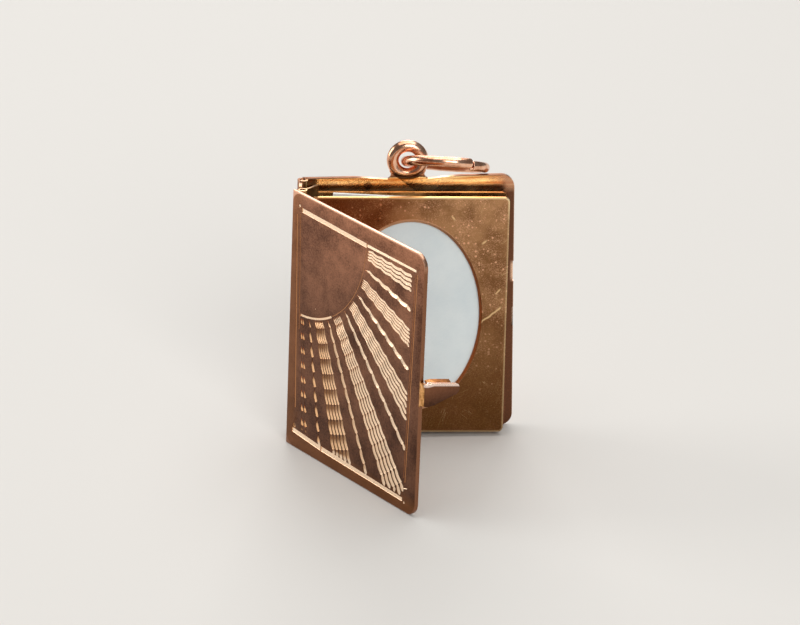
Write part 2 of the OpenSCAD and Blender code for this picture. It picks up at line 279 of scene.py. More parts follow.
# Hair-fine scratches in patches, one set of them for each angle in degrees
def hairScratches(tree, place, angles):
    marks = 0.0
    for degrees in angles:
        line = cloud(tree, place, 1.3, 1, 0.4, (0.16, 1, 9.0), math.radians(degrees))
        line = addNode(tree, "Math", [line, 0.5], operation="SUBTRACT")
        line = addNode(tree, "Math", [line], operation="ABSOLUTE")
        patch = cloud(tree, place, 2.4 + degrees / 90, 1, 0.4)
        line = meeting(tree, [line, 0.0, 0.006, 1, 0], [patch, 0.58, 0.66, 0, 0.7])
        marks = addNode(tree, "Math", [marks, line], operation="MAXIMUM")
    return marks


# Front cover: sheet, rolled hinge edge, hinge tubes and engraving; x runs from the front pin

coverSheet = {
    "hingeEdge": -0.39, "freeEdge": 15.61, "outer": -0.63, "inner": -0.33, "height": 20.0,
    "cornerRadius": 1.0, "rolledEdge": 0.14, "rimSoft": 0.06,
    "tubeRows": ((2.2, 6.2), (8.6, 11.4), (13.8, 17.8)), "tubeGap": 0.03,
    "tubeOuter": 0.33, "bore": 0.22, "tubeSoft": 0.03, "tubeSteps": 40,
}
engraving = {
    "sun": (0.71, 18.7), "sunRadius": 8.03, "start": 8.2, "rightEnd": 14.15,
    "footEnd": 1.5, "footSlope": 0.035, "footFrom": 4,
    "depth": 0.04, "proud": 0.02, "floor": 0.78, "tilt": 0.15,
    # Strokes of the tool: length, where one ends, how far it sags, and where along it its width is set
    "period": 1.13, "strokeEnd": 8.75, "swing": 0.05, "strokes": range(-1, 14),
    "rungs": (0, 0.06, 0.2, 0.35, 0.5, 0.65, 0.8, 0.93), "rungsApart": 0.04,
    "rise": 0.12, "lateRise": 0.3, "fall": 0.08, "fallsFrom": 1.02,
    "bundleTaper": 0.12, "loneTaper": 0.5, "endTaper": 0.15, "taperedStart": 0.2, "taperedEnd": 0.3,
    "loneWidthAtStart": 0.65, "loneWidens": 3, "bundleShare": 0.4, "bundleWidthAt": 12,
    # Lone rays: angle, half width, how thin a stroke starts, and where it swells
    "loneRays": (
        (13.3, 0.17, 0.9, 0.0), (29.9, 0.185, 0.85, 0.0), (46.0, 0.19, 0.5, 0.0),
        (62.8, 0.18, 0.35, 0.0), (79.8, 0.165, 0.2, 0.25)),
    # Bundles: middle angle, step, number of rays, then the same two
    "bundledRays": (
        (5.1, 1.5, 4, 1.0, 0.0), (21.6, 1.12, 5, 1.0, 0.0), (38.2, 1.3, 5, 0.9, 0.0),
        (54.6, 1.36, 5, 0.5, 0.0), (71.2, 1.45, 5, 0.4, 0.0), (86.05, 1.45, 2, 0.08, 0.55)),
    # Bars: two ends, the width at each, and depth
    "bars": (
        ((0.86, 18.77), (8.75, 18.6), (0.36, 0.34), 0.04), ((8.77, 18.63), (14.62, 18.6), (0.24, 0.2), 0.04),
        ((0.42, 1.33), (4.02, 1.09), (0.36, 0.38), 0.04), ((4.05, 1.1), (14.05, 0.87), (0.4, 0.3), 0.04),
        ((14.1, 1.76), (14.56, 1.9), (0.08, 0.05), 0.025)),
    # Arcs round the sun: first angle, last angle, width and depth
    "arcs": ((2.6, 58, 0.07, 0.013), (59, 87.5, 0.19, 0.04)),
    # Upright border lines: top, foot and width
    "borderLines": (
        ((0.28, 18.3), (0.72, 3.2), 0.12), ((0.68, 18.45), (0.92, 9.5), 0.07),
        ((14.76, 18.4), (14.3, 2.3), 0.1), ((14.56, 18.3), (14.13, 2.6), 0.06)),
    "lineDepth": 0.014,
    # Punch marks: x, z and radius
    "punchMarks": (
        (0.55, 19.02, 0.13), (0.7, 1.74, 0.2), (14.26, 0.72, 0.1),
        (2.86, 11.75, 0.05), (1.63, 1.78, 0.11), (2.09, 1.77, 0.1)),
    "punchDepth": 0.03,
}
# Rose gold, satin grained and left to darken, lighter higher up with painted light, bright where the
# engraver's tool cut it, with painted shade at the start of strokes and on the cuts' shallow edges, and a rim
# band brightened along the top edge by a painted highlight.
# The places and depths are in millimetres, the angles in radians below level, each with what it leads to
engravedLook = {
    "field": "#5a3828", "fieldLight": "#9a6a50", "golden": "#8f5a30", "rim": "#dba688", "rimDull": "#8f6248",
    "cut": "#ffe0c0", "cutWarm": "#fbc48e", "cutPaintedShade": "#7b5233", "line": "#bd8456",
    "inner": "#e2a26c", "innerDark": "#bd8050",
    "grainSize": 0.13, "patinaSize": 2.4, "rimWidth": 0.12,
    # lighterUp is painted light: the field's colour is made brighter higher up on the cover
    "lighterUp": ((0.0, 15.0, 0.5, 0.9), (13.5, 19.5, 0.0, 0.5)),
    "goldenFoot": (1.6, 0.6, 0, 0.55), "goldenLeft": (1.1, 0.2, 0, 0.45),
    "cutDepth": (0.003, 0.011), "fullDepth": (0.014, 0.02), "cutsWithin": 0.85, "deepest": 0.14,
    # The steeper rays get a painted shade at the start of each stroke
    "warmAngles": (0.9, 1.45), "strokeShadeAngles": (1.05, 1.25, 0, 0.9), "strokeShadeStart": (0.62, 0.25),
    # The rim band's painted highlight builds up between the first two heights, toward the top edge
    "rimHighlightHeights": (18.7, 19.5), "rimDepth": (0.34, 0.24), "insideDepth": (0.25, 0.29),
}


# Brown satin field: fine grain, clouds of patina, lighter higher up with painted light, and more golden near
# two borders
def satinField(tree, place, look, x, z):
    grain = cloud(tree, place, look["grainSize"], 3, 0.7)
    patina = cloud(tree, place, look["patinaSize"], 4, 0.6)
    tone = addNode(tree, "Math", [grain, 0.8, patina], operation="MULTIPLY_ADD")
    field = layered(tree, look["field"], ([tone, 0.7, 1.08], look["fieldLight"]))
    # painted light: the field's colour is scaled brighter with height
    light, more = [addNode(tree, "MapRange", [z, *heights]) for heights in look["lighterUp"]]
    light = addNode(tree, "Math", [light, more], operation="ADD")
    field = addNode(tree, "VectorMath", {0: field, "Scale": light}, operation="SCALE")
    foot = addNode(tree, "MapRange", [z, *look["goldenFoot"]])
    left = addNode(tree, "MapRange", [x, *look["goldenLeft"]])
    border = addNode(tree, "Math", [foot, left], operation="MAXIMUM")
    return layered(tree, field, (border, look["golden"])), grain, patina


# The cuts: pale at the right, warm toward the foot, where painted shade darkens the start of each stroke; the
# cuts' shallow edges take the duller line colour as painted shade, and scribed lines are duller
def cutColour(tree, place, look, cuts, depth, z):
    r, flat = awayFrom(tree, place, *cuts["sun"])
    across, _, up = addNode(tree, "SeparateXYZ", [flat], give=None)
    down = addNode(tree, "Math", [up, -1.0], operation="MULTIPLY")
    angle = addNode(tree, "Math", [down, across], operation="ARCTAN2")
    stroke = addNode(tree, "Math", [r, cuts["strokeEnd"]], operation="SUBTRACT")
    stroke = addNode(tree, "Math", [stroke, 1 / cuts["period"]], operation="MULTIPLY")
    stroke = addNode(tree, "Math", [stroke], operation="FRACT")
    onRays = meeting(tree, [r, cuts["start"] - 0.06, cuts["start"]],
                     [z, cuts["footEnd"] - 0.05, cuts["footEnd"] + 0.1])
    warm = meeting(tree, [angle, *look["warmAngles"]], onRays)
    # painted shade: each stroke on the steeper rays starts darker
    dark = meeting(tree, [angle, *look["strokeShadeAngles"]], [stroke, *look["strokeShadeStart"]], onRays)
    bright = layered(tree, look["cut"], (warm, look["cutWarm"]), (dark, look["cutPaintedShade"]))
    # painted shade: each cut's shallow edges fade to the line colour, which the shallower scribed lines take
    # whole
    return layered(tree, look["line"], ([depth, *look["fullDepth"]], bright))


def engravedRoseGold(look, sheet, cuts):
    material, tree = newMaterial("engravedRoseGold")
    place = pieceSpace(tree, coverSpace)
    x, y, z = addNode(tree, "SeparateXYZ", [place], give=None)
    depth = addNode(tree, "Math", [y, -sheet["outer"]], operation="ADD")
    toEdge = outsideCore(tree, place, (sheet["hingeEdge"], 0), (sheet["freeEdge"], sheet["height"]),
                         sheet["cornerRadius"])
    field, grain, patina = satinField(tree, place, look, x, z)
    inField = addNode(tree, "Math", [toEdge, look["cutsWithin"]], operation="LESS_THAN")
    shallow = addNode(tree, "Math", [depth, look["deepest"]], operation="LESS_THAN")
    cut = meeting(tree, [depth, *look["cutDepth"]], meeting(tree, inField, shallow))
    rim = meeting(tree, [toEdge, 1 - look["rimWidth"], 1 - 0.35 * look["rimWidth"]],
                  [depth, *look["rimDepth"]])
    within = addNode(tree, "MapRange", [depth, *look["insideDepth"]])
    bright = cutColour(tree, place, look, cuts, depth, z)
    # painted highlight: the rim band's colour brightens toward the top edge
    edge = layered(tree, look["rimDull"], ([z, *look["rimHighlightHeights"]], look["rim"]))
    inner = layered(tree, look["innerDark"], ([patina, 0.34, 0.68], look["inner"]))
    colour = layered(tree, field, (cut, bright), (rim, edge), (within, inner))
    polish = addNode(tree, "Math", [cut, rim], operation="MAXIMUM")
    polish = addNode(tree, "Math", [polish, 0.16], operation="MULTIPLY")
    polish = addNode(tree, "Math", [within, 0.26, polish], operation="MULTIPLY_ADD")
    roughness = addNode(tree, "MapRange", [grain, 0.3, 0.7, 0.4, 0.54])
    roughness = addNode(tree, "Math", [roughness, polish], operation="SUBTRACT")
    grainy = addNode(tree, "Math", [within, -0.7, 0.9], operation="MULTIPLY_ADD")
    normal = addNode(tree, "Bump", {"Height": grain, "Distance": 0.012 * millimetre, "Strength": grainy})
    closeMaterial(tree, {"Base Color": colour, "Metallic": 1.0, "Roughness": roughness, "Normal": normal})
    return material


def easeUp(x):
    x = min(1, max(0, x))
    return x * x * (3 - 2 * x)


# A hinge tube on the Z axis: its wall's outline, with rounded outer corners, is spun once round
def tube(bm, settings, foot, top):
    inner, outer = settings["bore"], settings["tubeOuter"]
    wall = bmesh.ops.create_grid(bm, x_segments=1, y_segments=1, size=0.5)["verts"]
    bmesh.ops.scale(bm, vec=(outer - inner, top - foot, 1), verts=wall)
    rotated(bm, wall, "X", 90)
    bmesh.ops.translate(bm, vec=((outer + inner) / 2, 0, (foot + top) / 2), verts=wall)
    corners = [v for v in wall if v.co.x > (inner + outer) / 2]
    rounded = bevelled(bm, corners, settings["tubeSoft"], 3, "VERTICES")
    around = list(dict.fromkeys(f for v in rounded for f in v.link_faces))
    edges = list(dict.fromkeys(e for f in around for e in f.edges))
    bmesh.ops.delete(bm, geom=around, context="FACES_ONLY")
    bmesh.ops.spin(bm, geom=edges, cent=(0, 0, 0), axis=(0, 0, 1), dvec=(0, 0, 0), angle=math.radians(360),
                   steps=settings["tubeSteps"], use_merge=True, use_duplicate=False)


# A flat-bottomed cutter along one ray, made straight with even steps and then shaped: each stroke of the
# engraver's tool sags a little to one side, starts thin, and is at its widest before it ends
def rayCutter(rays, angle, stop, halfWidth, thin, swell, bundled, settings):
    along = Vector((math.cos(angle), 0, -math.sin(angle)))
    side = Vector((math.sin(angle), 0, math.cos(angle)))
    sun = Vector((settings["sun"][0], coverSheet["outer"], settings["sun"][1]))
    start, depth, proud, floor = [settings[key] for key in ("start", "depth", "proud", "floor")]
    near, far = start + settings["bundleTaper"], stop - settings["endTaper"]
    rungs = [start, near, far, stop]
    for stroke in settings["strokes"]:
        for part in settings["rungs"]:
            at = settings["strokeEnd"] + settings["period"] * (stroke + part)
            if near + settings["rungsApart"] < at < far - settings["rungsApart"]:
                rungs.append(at)
    rungs.sort()
    bm = bmesh.new()
    evenStep = 5
    slant = (1 - floor) * proud / depth
    corners = [bm.verts.new(side * across + Vector((0, down, 0))) for across, down in (
        (1 + slant, -proud), (-1 - slant, -proud), (-floor, depth), (floor, depth))]
    grown = bmesh.ops.extrude_face_region(bm, geom=[bm.faces.new(corners)], use_keep_orig=True)
    farEnd = [g for g in grown["geom"] if isinstance(g, bmesh.types.BMVert)]
    bmesh.ops.translate(bm, vec=along * (len(rungs) - 1) * evenStep, verts=farEnd)
    bmesh.ops.subdivide_edges(bm, edges=[e for e in bm.edges if e.calc_length() > evenStep],
                              cuts=len(rungs) - 2)
    rise = settings["lateRise"] if swell else settings["rise"]
    startTaper = settings["bundleTaper"] if bundled else settings["loneTaper"]
    atStart = settings["loneWidthAtStart"]
    for v in bm.verts:
        r = rungs[round(v.co.dot(along) / evenStep)]
        across, down = v.co.dot(side), v.co.y
        u = ((r - settings["strokeEnd"]) / settings["period"]) % 1
        grows = atStart + (1 - atStart) * easeUp((r - start) / settings["loneWidens"])
        wide = halfWidth * (r / settings["bundleWidthAt"] if bundled else grows)
        wide *= thin + ((1 - thin) * easeUp((u - swell) / rise)
                        * easeUp((settings["fallsFrom"] - u) / settings["fall"]))
        wide *= (max(settings["taperedStart"], min(1, (r - start) / startTaper))
                 * max(settings["taperedEnd"], min(1, (stop - r) / settings["endTaper"])))
        sag = settings["swing"] * (1 - 2 * math.sin(math.pi * u))
        if down > 0:
            down += across * wide * settings["tilt"]
        v.co = sun + along * r + side * (across * wide + sag) + Vector((0, down, 0))
    bmesh.ops.recalc_face_normals(bm, faces=bm.faces)
    mesh = toMesh(bm, "ray")
    rays.from_mesh(mesh)
    bpy.data.meshes.remove(mesh)


# Where a ray stops: at the right border or just above the bar along the foot
def rayStop(angle, settings):
    sunX, sunZ = settings["sun"]
    reach = (settings["rightEnd"] - sunX) / max(math.cos(angle), 0.01)
    down = reach * math.sin(angle)
    foot = settings["footEnd"] - settings["footSlope"] * (reach * math.cos(angle) - settings["footFrom"])
    return min(reach, (sunZ - foot) / math.sin(angle)) if sunZ - down < foot else reach


# A bar that leans into the sheet: its upper side is cut about twice as deep as its lower one
def barCutter(bm, first, last, widths, depth, proud):
    outer = coverSheet["outer"]
    rings = []
    for (x, z), width in ((first, widths[0]), (last, widths[1])):
        rings.append([bm.verts.new((x, outer + down, z + width / 2 * up)) for down, up in (
            (-proud, -1.15), (-proud, 1.15), (depth * 1.5, 0.8), (depth * 0.7, -0.8))])
    bm.faces.new(rings[0])
    bm.faces.new(rings[1][::-1])
    bmesh.ops.bridge_loops(bm, edges=[e for e in bm.edges if e.is_boundary
                                      and all(v in rings[0] + rings[1] for v in e.verts)])


# A small round punch mark
def dotCutter(bm, x, z, radius, depth, proud):
    made = bmesh.ops.create_cone(bm, cap_ends=True, segments=16, radius1=radius * 0.6, radius2=radius * 1.2,
                                 depth=depth + proud)["verts"]
    rotated(bm, made, "X", 90)
    bmesh.ops.translate(bm, vec=(x, coverSheet["outer"] + (depth - proud) / 2, z), verts=made)


# The quarter circle round the sun, cut wide at its foot and fine higher up
def arcCutter(bm, first, last, width, depth, settings):
    along = Vector((math.cos(math.radians(first)), 0, -math.sin(math.radians(first))))
    centre = Vector((settings["sun"][0], 0, settings["sun"][1]))
    radius, proud = settings["sunRadius"], settings["proud"]
    corners = [bm.verts.new(centre + along * (radius + across * width / 2)
                            + Vector((0, coverSheet["outer"] + down, 0)))
               for across, down in ((-1.2, -proud), (1.2, -proud), (0.6, depth), (-0.6, depth))]
    bmesh.ops.spin(bm, geom=[bm.faces.new(corners)], cent=centre, axis=(0, 1, 0), dvec=(0, 0, 0),
                   angle=math.radians(last - first), steps=max(4, round(last - first)),
                   use_merge=False, use_duplicate=False)


def makeFrontCover(settings, cuts, material):
    left, right, outer, proud = settings["hingeEdge"], settings["freeEdge"], settings["outer"], cuts["proud"]
    sheet = bmesh.new()
    block(sheet, (left, outer, 0), (right, settings["inner"], settings["height"]))
    bevelled(sheet, freeCorners(sheet, right - 0.1), settings["cornerRadius"], 14)
    rolled = [e for e in sheet.edges if all(v.co.x < left + 0.01 and v.co.y < outer + 0.01 for v in e.verts)]
    bevelled(sheet, rolled, settings["rolledEdge"], 8)
    softenEdges(sheet, settings["rimSoft"], 3, 50)
    rays = bmesh.new()
    for degrees, halfWidth, thin, swell in cuts["loneRays"]:
        angle = math.radians(degrees)
        rayCutter(rays, angle, rayStop(angle, cuts), halfWidth, thin, swell, False, cuts)
    for middle, step, count, thin, swell in cuts["bundledRays"]:
        halfWidth = cuts["bundleShare"] * cuts["bundleWidthAt"] * math.radians(step)
        for line in range(count):
            angle = math.radians(middle + (line - (count - 1) / 2) * step)
            rayCutter(rays, angle, rayStop(angle, cuts), halfWidth, thin, swell, True, cuts)
    bars = bmesh.new()
    for first, last, widths, depth in cuts["bars"]:
        barCutter(bars, first, last, widths, depth, proud)
    arcs = bmesh.new()
    for first, last, width, depth in cuts["arcs"]:
        arcCutter(arcs, first, last, width, depth, cuts)
    lines = bmesh.new()
    for (x0, z0), (x1, z1), width in cuts["borderLines"]:
        made = block(lines, (-width / 2, outer - 0.03, z1), (width / 2, outer + cuts["lineDepth"], z0))
        for v in made:
            v.co.x += x0 + (x1 - x0) * (z0 - v.co.z) / (z0 - z1)
    dots = bmesh.new()
    for x, z, radius in cuts["punchMarks"]:
        dotCutter(dots, x, z, radius, cuts["punchDepth"], proud)
    sheet = cutAway(sheet, rays, bars, arcs, lines, dots)
    for foot, top in settings["tubeRows"]:
        tube(sheet, settings, foot + settings["tubeGap"], top - settings["tubeGap"])
    placed(sheet, "engravedCover", material, "cover", ["front_cover"], coverSpace, 28)


makeFrontCover(coverSheet, engraving, engravedRoseGold(engravedLook, coverSheet, engraving))


# The tongue is bent from one strip: the source's own shape, cut off the cover, with its edges rounded off

tongueShape = {
    "soft": 0.045,
    "keptBeyond": (((15.5, 0, 0), (1, 0, 0)), ((0, 0, 8.65), (0, 0, 1)), ((0, 0, 10.65), (0, 0, -1))),
}
# Brown satin outside like the cover, golden inside, with a pale band along its top edge that is wear and a
# painted highlight
tongueLook = {
    "outer": "#84573f", "outerDark": "#3c2418", "inner": "#f2b878", "innerDark": "#a8703c", "worn": "#ffe6d8",
    "lighterUp": (8.8, 10.4), "insideFrom": (16.03, 16.0), "wornFrom": (15.94, 15.99),
    "topAt": 10.544, "topSlope": -0.2198, "slopesFrom": 0.2, "wornBelowTop": (-0.26, -0.16),
}


def wornTongueGold(look):
    material, tree = newMaterial("wornTongueGold")
    place = pieceSpace(tree, coverSpace)
    x, y, z = addNode(tree, "SeparateXYZ", [place], give=None)
    grain = cloud(tree, place, 0.13, 3, 0.7)
    rubbed = cloud(tree, place, 0.35, 3, 0.6)
    tone = addNode(tree, "MapRange", [z, *look["lighterUp"]])
    tone = addNode(tree, "Math", [grain, 0.8, tone], operation="MULTIPLY_ADD")
    outer = layered(tree, look["outerDark"], ([tone, 0.3, 1.2], look["outer"]))
    inner = layered(tree, look["innerDark"], ([rubbed, 0.35, 0.65], look["inner"]))
    top = addNode(tree, "Math", [y, look["slopesFrom"]], operation="MAXIMUM")
    top = addNode(tree, "Math", [top, look["topSlope"], look["topAt"]], operation="MULTIPLY_ADD")
    top = addNode(tree, "Math", [z, top], operation="SUBTRACT")
    # wear and a painted highlight: a pale band along the top edge
    worn = meeting(tree, [top, *look["wornBelowTop"]], [x, *look["wornFrom"]])
    colour = layered(tree, outer, ([x, *look["insideFrom"]], inner), (worn, look["worn"]))
    roughness = addNode(tree, "MapRange", [grain, 0.3, 0.7, 0.3, 0.46])
    roughness = addNode(tree, "Math", [worn, -0.12, roughness], operation="MULTIPLY_ADD")
    normal = addNode(tree, "Bump", {"Height": grain, "Distance": 0.008 * millimetre, "Strength": 0.6})
    closeMaterial(tree, {"Base Color": colour, "Metallic": 1.0, "Roughness": roughness, "Normal": normal})
    return material


def makeTongue(settings, material):
    bm = cadCopy("front_cover")
    bmesh.ops.transform(bm, matrix=coverSpace.inverted(), verts=bm.verts)
    for place, facing in settings["keptBeyond"]:
        bmesh.ops.bisect_plane(bm, geom=list(bm.verts) + list(bm.edges) + list(bm.faces), dist=1e-5,
                               plane_co=place, plane_no=facing, clear_inner=True)
    bmesh.ops.holes_fill(bm, edges=[e for e in bm.edges if e.is_boundary], sides=0)
    softenEdges(bm, settings["soft"], 3, 40)
    placed(bm, "latchTongue", material, "cover", [], coverSpace)


makeTongue(tongueShape, wornTongueGold(tongueLook))


# The leaf's front plate with its sloping oval rim

leafShape = {
    "low": (1.0, 0.25, 0.7), "high": (15.3, 1.01, 19.3), "plate": 0.25, "turnedEdge": 0.25, "openTop": 0.8,
    "cornerRadius": 0.4, "rolledEdge": 0.16, "soft": 0.05, "window": (8.15, 10.0), "halfWindow": (5.15, 7.35),
    "slope": 0.2, "ledge": 0.125,
}
# Yellow gold plate gone brown: a haze, pale round specks, fine scratches that run every way, a few
# plainer ones round the window, and a painted highlight along the rims, brightest at the top
leafLook = {
    "top": "#b98a60", "low": "#664221", "haze": "#6c4528", "speck": "#f0b890", "scratch": "#ffd9a0",
    "rim": "#ffe2ae", "red": "#6b3c24", "golden": "#a27042",
    "lighterUp": (3.0, 18.5), "redUp": (13.0, 17.0, 0, 0.8), "redLeft": (8.0, 4.5),
    "upperRight": (14.0, 28.0, 0.06, 1.0), "rimHighlightUp": (17.5, 19.0, 0.3, 0.95),
    "rimFrom": 0.15, "rimFull": 0.06, "ovalRim": (1.04, 1.028, 0, 0.7),
    "specks": ((1.7, 0.22), (3.4, 0.34)),       # how many to a millimetre, and the widest
    "hairAngles": (28, -41, 74),
    "scratchWidths": (0.09, 0.03),
    "scratches": (
        ((12.9, 8.9), (14.9, 10.8)), ((14.35, 11.7), (14.85, 12.2)),
        ((11.0, 17.9), (11.4, 17.5)), ((13.3, 15.6), (13.75, 16.0))),
}


# Each named scratch runs from one point to another and wavers a little with the patches
def longScratches(tree, place, look, patches, x, z, marks):
    for (x0, z0), (x1, z1) in look["scratches"]:
        half = math.hypot(x1 - x0, z1 - z0) / 2
        turn = math.atan2(z1 - z0, x1 - x0)
        aside = x0 * math.sin(turn) - z0 * math.cos(turn)
        offset = addNode(tree, "Math", [x, -math.sin(turn), aside], operation="MULTIPLY_ADD")
        offset = addNode(tree, "Math", [z, math.cos(turn), offset], operation="MULTIPLY_ADD")
        offset = addNode(tree, "Math", [offset, -0.2], operation="ADD")
        offset = addNode(tree, "Math", [patches, 0.4, offset], operation="MULTIPLY_ADD")
        offset = addNode(tree, "Math", [offset], operation="ABSOLUTE")
        along, _ = awayFrom(tree, place, (x0 + x1) / 2, (z0 + z1) / 2)
        line = meeting(tree, [offset, *look["scratchWidths"]], [along, half, half - 0.2])
        marks = addNode(tree, "Math", [marks, line], operation="MAXIMUM")
    return marks


def hazyYellowGold(look, shape):
    material, tree = newMaterial("hazyYellowGold")
    place = pieceSpace(tree, leafSpace)
    x, _, z = addNode(tree, "SeparateXYZ", [place], give=None)
    haze = cloud(tree, place, 2.6, 4, 0.6)
    fine = cloud(tree, place, 0.09, 2, 0.7)
    patches = cloud(tree, place, 1.4, 3, 0.6)
    red = meeting(tree, [z, *look["redUp"]], [x, *look["redLeft"]])
    upperRight = addNode(tree, "Math", [x, 0.8, z], operation="MULTIPLY_ADD")
    upperRight = addNode(tree, "MapRange", [upperRight, *look["upperRight"]])
    mottle = addNode(tree, "Math", [patches, 0.55, fine], operation="MULTIPLY_ADD")
    mottle = meeting(tree, [mottle, 0.78, 0.98, 0, 0.55], upperRight)
    colour = layered(tree, look["low"], ([z, *look["lighterUp"]], look["top"]),
                     ([haze, 0.42, 0.62, 0, 0.75], look["haze"]), (red, look["red"]),
                     ([fine, 0.4, 0.65, 0, 0.25], look["golden"]), (mottle, look["speck"]))
    for perMillimetre, widest in look["specks"]:
        cells, tint = addNode(tree, "TexVoronoi", {"Vector": place, "Scale": perMillimetre}, give=None)[:2]
        size, _, _ = addNode(tree, "SeparateXYZ", [tint], give=None)
        size = addNode(tree, "Math", [size, patches], operation="MULTIPLY")
        size = addNode(tree, "MapRange", [size, 0.18, 0.5, 0, widest])
        dots = addNode(tree, "Math", [size, cells], operation="SUBTRACT")
        dots = meeting(tree, [dots, 0.0, 0.08, 0, 0.9], upperRight)
        colour = layered(tree, colour, (dots, look["speck"]))
    marks = hairScratches(tree, place, look["hairAngles"])
    marks = longScratches(tree, place, look, patches, x, z, marks)
    marks = addNode(tree, "Math", [marks, 0.7], operation="MULTIPLY")
    radius = shape["cornerRadius"]
    toEdge = outsideCore(tree, place, shape["low"][::2], shape["high"][::2], radius)
    # painted highlight along the plate's rims, brightest toward the top edge
    rim = meeting(tree, [toEdge, radius - look["rimFrom"], radius - look["rimFull"]],
                  [z, *look["rimHighlightUp"]])
    (midX, midZ), (halfX, halfZ) = shape["window"], shape["halfWindow"]
    oval = addNode(tree, "VectorMath", [place, (midX, 0, midZ)], operation="SUBTRACT")
    oval = addNode(tree, "VectorMath", [oval, (1 / halfX, 0, 1 / halfZ)], operation="MULTIPLY")
    oval = addNode(tree, "VectorMath", [oval], give="Value", operation="LENGTH")
    colour = layered(tree, colour, (marks, look["scratch"]), (rim, look["rim"]),
                     ([oval, *look["ovalRim"]], look["speck"]))
    roughness = addNode(tree, "MapRange", [haze, 0.3, 0.7, 0.36, 0.26])
    normal = addNode(tree, "Bump", {"Height": haze, "Distance": 0.03 * millimetre, "Strength": 0.4})
    normal = addNode(tree, "Bump", {
        "Height": fine, "Distance": 0.006 * millimetre, "Strength": 0.5, "Normal": normal})
    closeMaterial(tree, {"Base Color": colour, "Metallic": 1.0, "Roughness": roughness, "Normal": normal})
    return material


# An oval cutter that stands on the plate, with its own width at each end
def ovalCutter(settings, ends, growths):
    bm = bmesh.new()
    made = bmesh.ops.create_cone(bm, cap_ends=True, segments=128, radius1=1, radius2=1, depth=1)["verts"]
    rotated(bm, made, "X", 90)
    for v in made:
        end = 0 if v.co.y < 0 else 1
        v.co.x = settings["window"][0] + v.co.x * (settings["halfWindow"][0] + growths[end])
        v.co.z = settings["window"][1] + v.co.z * (settings["halfWindow"][1] + growths[end])
        v.co.y = ends[end]
    return bm


def makeLeafFrame(settings, material):
    (left, front, foot), (right, rear, top) = settings["low"], settings["high"]
    plate = bmesh.new()
    block(plate, settings["low"], settings["high"])
    bevelled(plate, freeCorners(plate, right - 0.1), settings["cornerRadius"], 8)
    rolled = [e for e in plate.edges if all(v.co.x > right - 0.01 and v.co.y < front + 0.01 for v in e.verts)]
    bevelled(plate, rolled, settings["rolledEdge"], 5)
    softenEdges(plate, settings["soft"], 3, 50)
    behind, edge = front + settings["plate"], settings["turnedEdge"]
    hollow = bmesh.new()
    block(hollow, (left - 1, behind, foot + edge), (right - edge, rear + 1, top + 1))
    opened = bmesh.new()
    block(opened, (left - 2, behind, top - settings["openTop"]), (right + 1, rear + 2, top + 2))
    grown = settings["slope"] * (1 + 0.05 / settings["ledge"])      # the slope goes on 0.05 before the plate
    plate = cutAway(plate, hollow, opened, ovalCutter(settings, (front - 0.1, rear + 0.5), (0, 0)),
                    ovalCutter(settings, (front - 0.05, front + settings["ledge"]), (grown, 0)))
    placed(plate, "ovalFramePlate", material, "leaf", ["leaf_frame"], leafSpace, 30)


makeLeafFrame(leafShape, hazyYellowGold(leafLook, leafShape))


# Back cover: the ear's wire is hammered into its neck, and filed flush with the sheet toward its foot

backShape = {
    "soft": 0.05, "front": 0.09, "rear": 0.39,
    "earMiddle": 7.67, "earReach": 1.6, "flushBelow": 19.65, "fullAbove": 20.6, "leftAtFoot": 0.05,
}
# Brown satin outside with hair scratches and worn rims; orange gold inside, still polished, in soft clouds,
# with streaks of painted reflection and one dark stain near the top, pinker toward its free edge and then
# darker there with painted shade in the gap beside the leaf
backLook = {
    # The two streak colours paint reflections on the polished inside near the top
    "inner": "#eeb47c", "innerDark": "#cc8c55", "reflectionStreak": "#ffdca2", "reflectionStreakDark": "#d98e4c",
    "pink": "#c98e70", "dull": "#6e4733", "stain": "#5b3a2c", "topEdge": "#9a6748",
    "outer": "#b98464", "outerDark": "#7d543c", "rim": "#ffd0ac", "ear": "#ffcbaa", "earDark": "#d2946e",
    # The dull corner toward the free edge, below the top band, is painted shade in the gap beside the leaf
    "reflectionStreaksUp": (17.4, 19.0), "pinkRight": (13.2, 14.8, 0, 0.8), "gapShadeRight": (14.2, 15.0),
    "gapShadeBelow": (19.2, 18.6), "stainAt": (4.75, 19.35), "stainReach": (0.56, 0.4, 0, 0.8),
    "hairAngles": (24, -52, 80), "outsideFrom": (0.2, 0.3), "earFrom": (20.05, 20.3),
    "edgeFrom": (19.9, 19.97), "edgeTo": (20.1, 20.0),
    # The worn outline reaches past the hinge, so that only the free edges are worn
    "wornLow": (-4.71, 0), "wornHigh": (15.51, 20), "wornRadius": 1.0, "wornFrom": (0.82, 0.97, 0, 0.75),
    # The sheet's hinge edge leans, and what lies beyond it is outside
    "hingeAt": 0.75, "hingeSlope": -0.0375, "beyondHinge": (-0.15, -0.25),
    # The flat on the free edge: x, foot and top
    "flatRight": (15.2, 15.4, 0, 0.85), "flatFoot": (11.5, 11.95), "flatTop": (13.3, 12.9),
    "freeEdge": (15.44, 15.5, 0, 0.35),
}


